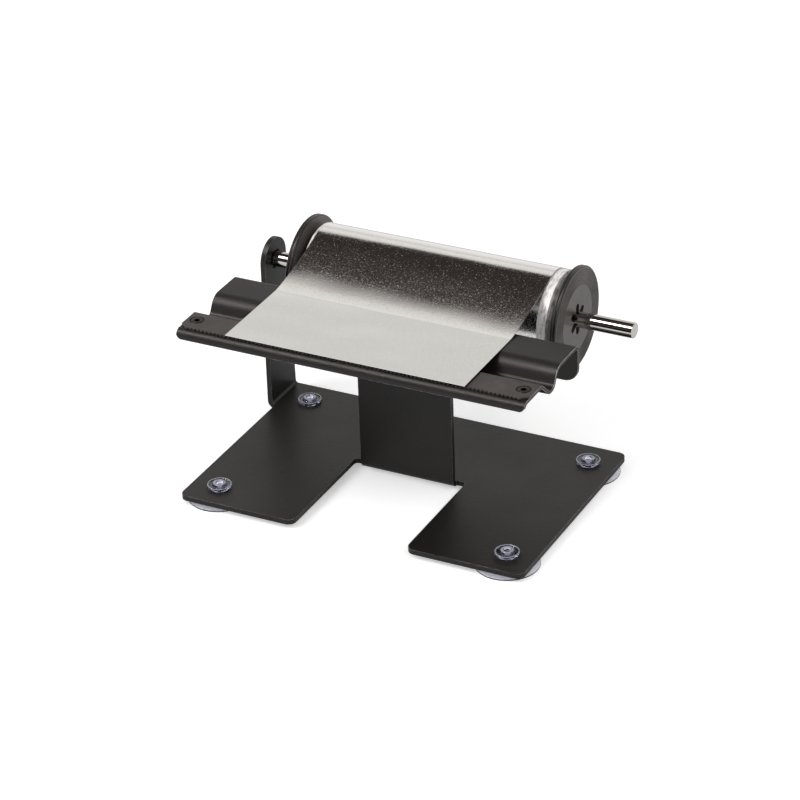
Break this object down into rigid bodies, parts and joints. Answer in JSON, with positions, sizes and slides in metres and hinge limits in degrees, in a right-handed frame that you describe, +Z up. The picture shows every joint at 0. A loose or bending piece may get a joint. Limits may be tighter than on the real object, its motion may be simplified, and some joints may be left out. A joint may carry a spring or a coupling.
{
  "type": "foil roll dispenser",
  "caption": "Countertop foil dispenser: black folded-metal stand on suction cups, foil roll between end discs on an overhanging rod, wavy tray with toothed cutter.",
  "frame": {"origin": "on the table, under the middle of the whole object's bounding box", "axes": "+X along the roll's shaft towards its free end (the right in use), +Y away from the user, +Z up"},
  "size_m": [0.1888, 0.13, 0.1043],
  "materials": {
    "powder_coat": "satin powder coat",
    "blade_black": "satin",
    "black_screw": "blackened",
    "zinc_steel": "zinc plated",
    "clear_cup": "clear gloss",
    "polished_steel": "polished",
    "disc_plastic": "satin",
    "card": "grey-brown card",
    "foil": "bright rolled foil"
  },
  "bodies": {
    "stand": {"stand": "powder_coat", "tray": "powder_coat", "cutter_blade": "blade_black", "cutter_screw_left": "black_screw", "cutter_screw_right": "black_screw", "cutter_nut_left": "zinc_steel", "cutter_nut_right": "zinc_steel", "tray_screw_left": "black_screw", "tray_screw_right": "black_screw", "tray_nut_left": "zinc_steel", "tray_nut_right": "zinc_steel", "cup_front_left": "clear_cup", "cup_front_right": "clear_cup", "cup_rear_left": "clear_cup", "cup_rear_right": "clear_cup", "shaft": "polished_steel", "shaft_screw": "black_screw", "foil_sheet": "foil"},
    "spool": {"left_disc": "disc_plastic", "roll_core": "card", "foil_roll": "foil"},
    "right_disc": {"right_disc": "disc_plastic"}
  },
  "joints": [
    {"name": "roll_spin", "type": "hinge", "parent": "stand", "child": "spool", "pos_m": [-0.0029, 0.04005, 0.0793], "axis": [1, 0, 0], "continuous": true},
    {"name": "right_disc_slide", "type": "slide", "parent": "spool", "child": "right_disc", "axis": [1, 0, 0], "range_m": [0, 0.025]}
  ]
}
